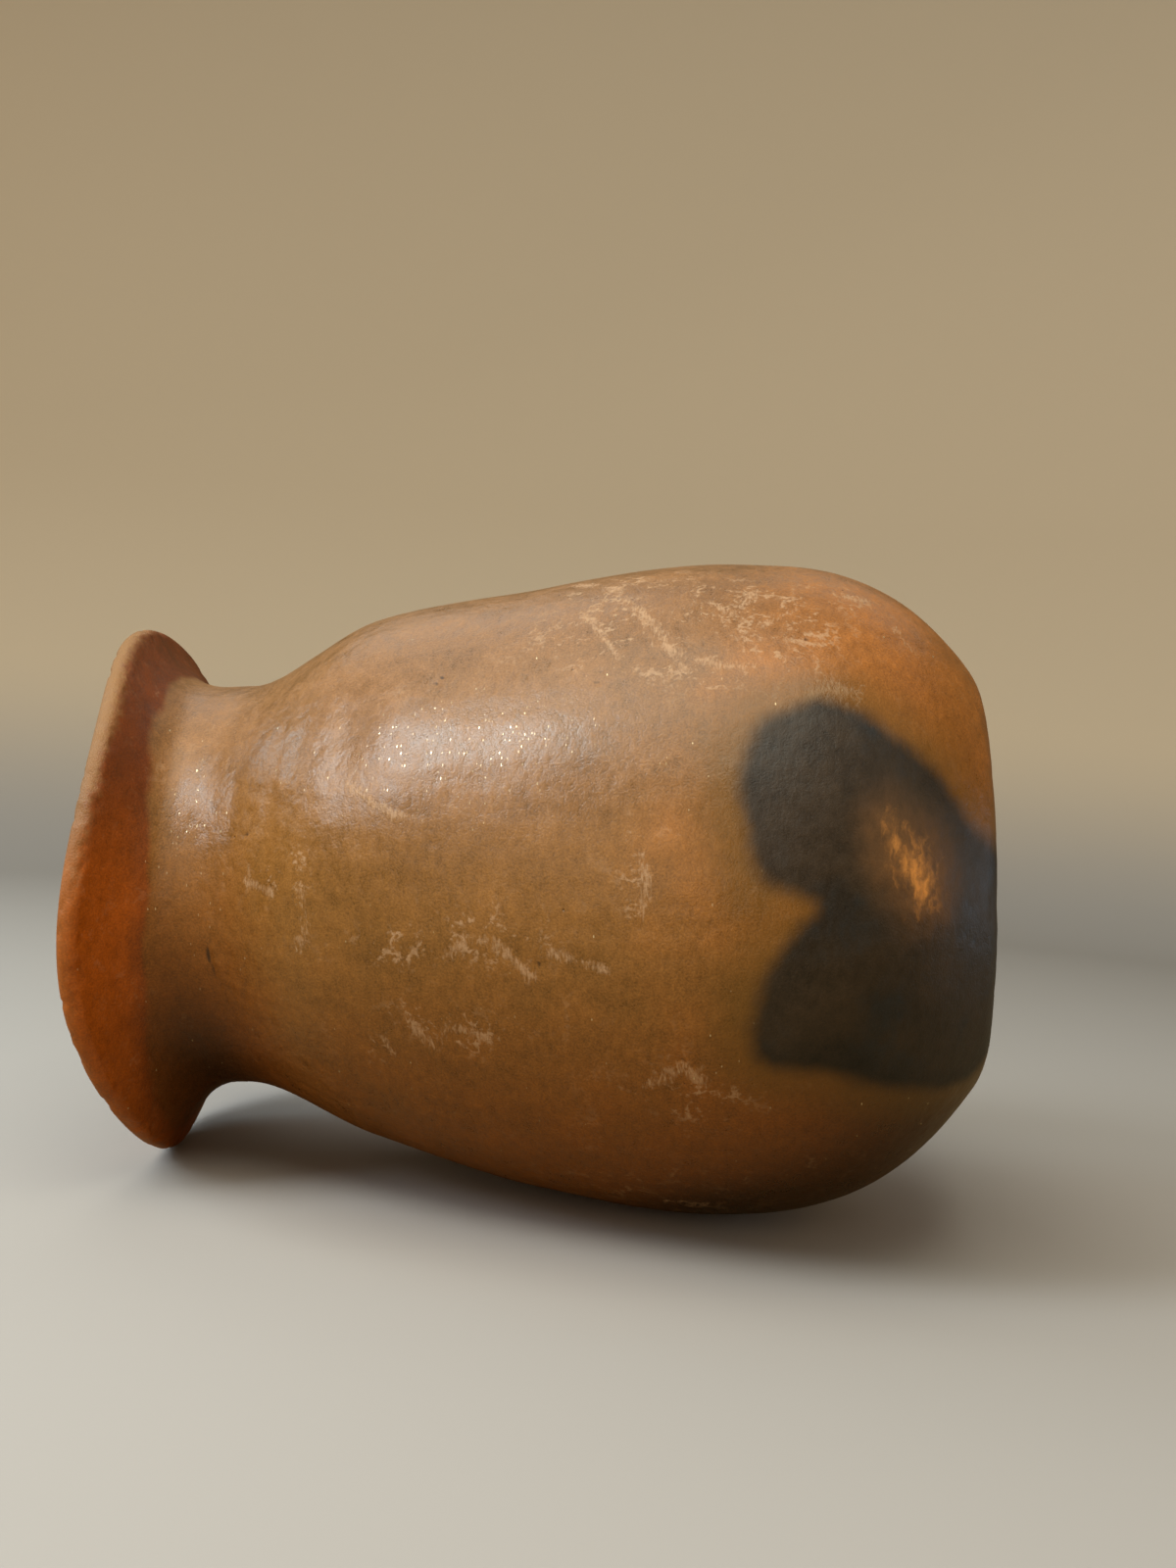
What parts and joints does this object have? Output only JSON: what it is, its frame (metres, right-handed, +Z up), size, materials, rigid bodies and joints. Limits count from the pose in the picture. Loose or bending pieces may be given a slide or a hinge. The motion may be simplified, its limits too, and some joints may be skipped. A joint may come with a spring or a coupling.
{
  "type": "olla",
  "caption": "Small hand-built olla of burnished micaceous clay with a round belly, a narrow neck and a turned-out uneven rim, lying on its side.",
  "frame": {"origin": "on the surface that the pot lies on, under the middle of its bounding box", "axes": "+Z up; +X along the pot from the mouth to the foot, level, with the pot's own axis rising 4.95 degrees towards the foot; -Y is the side that the picture shows"},
  "size_m": [0.1698, 0.1232, 0.1218],
  "materials": {
    "burnished_clay": "burnished, semi-gloss, with fine mica glints",
    "smoked_clay": "burnished, with a grey-black fire cloud",
    "rim_clay": "burnished, orange-brown, worn paler along the lip"
  },
  "bodies": {
    "root": {"base_bowl": "smoked_clay", "wall_coil_1": "burnished_clay", "wall_coil_2": "burnished_clay", "wall_coil_3": "burnished_clay", "wall_coil_4": "burnished_clay", "wall_coil_5": "burnished_clay", "wall_coil_6": "burnished_clay", "neck_coil": "burnished_clay", "rim_coil": "rim_clay"}
  },
  "joints": []
}
